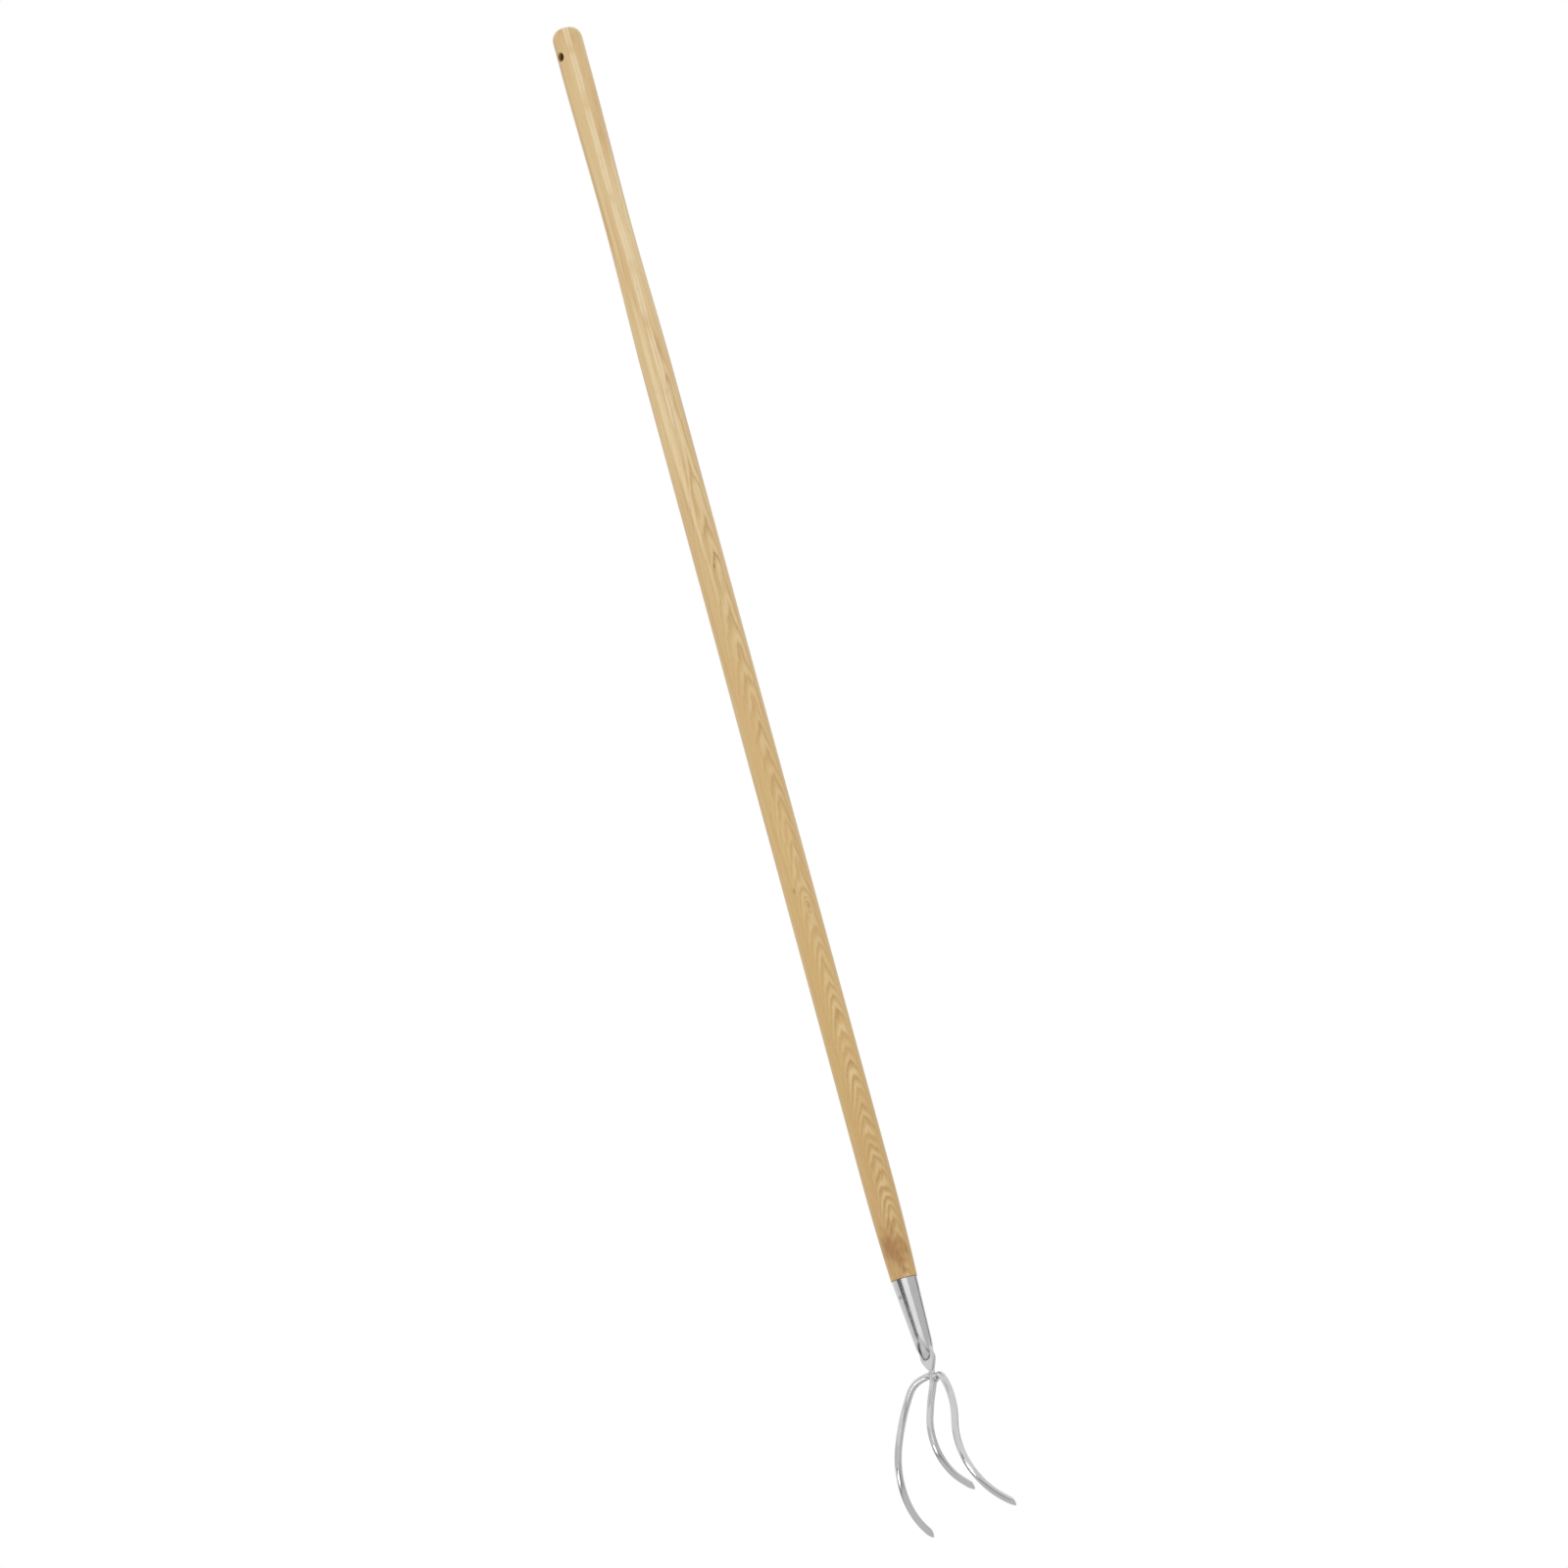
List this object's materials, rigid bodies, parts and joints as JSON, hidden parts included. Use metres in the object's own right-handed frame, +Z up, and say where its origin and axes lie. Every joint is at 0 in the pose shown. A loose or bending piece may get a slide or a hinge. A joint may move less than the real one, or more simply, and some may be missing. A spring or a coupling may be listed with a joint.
{
  "type": "garden cultivator",
  "caption": "Long-handled garden cultivator: turned ash handle with a hanging hole, pinched steel socket and bent pointed steel tines",
  "frame": {"origin": "The middle of the hanging hole, on the handle's axis, 29 mm below the butt end.", "axes": "+Z runs up the handle's axis to the butt end, as the tool hangs. +Y is the way the tips of the tines point. +X is the side of the right tine."},
  "size_m": [0.1356, 0.0491, 1.5297],
  "materials": {
    "ash": "clear satin lacquer over pale ash",
    "polished_steel": "polished",
    "rivet_steel": "plain",
    "weld_steel": "cleaned weld"
  },
  "bodies": {
    "root": {"handle": "ash", "socket": "polished_steel", "socket_rivet": "rivet_steel", "middle_tine": "polished_steel", "left_tine": "polished_steel", "right_tine": "polished_steel", "left_weld": "weld_steel", "right_weld": "weld_steel"}
  },
  "joints": []
}
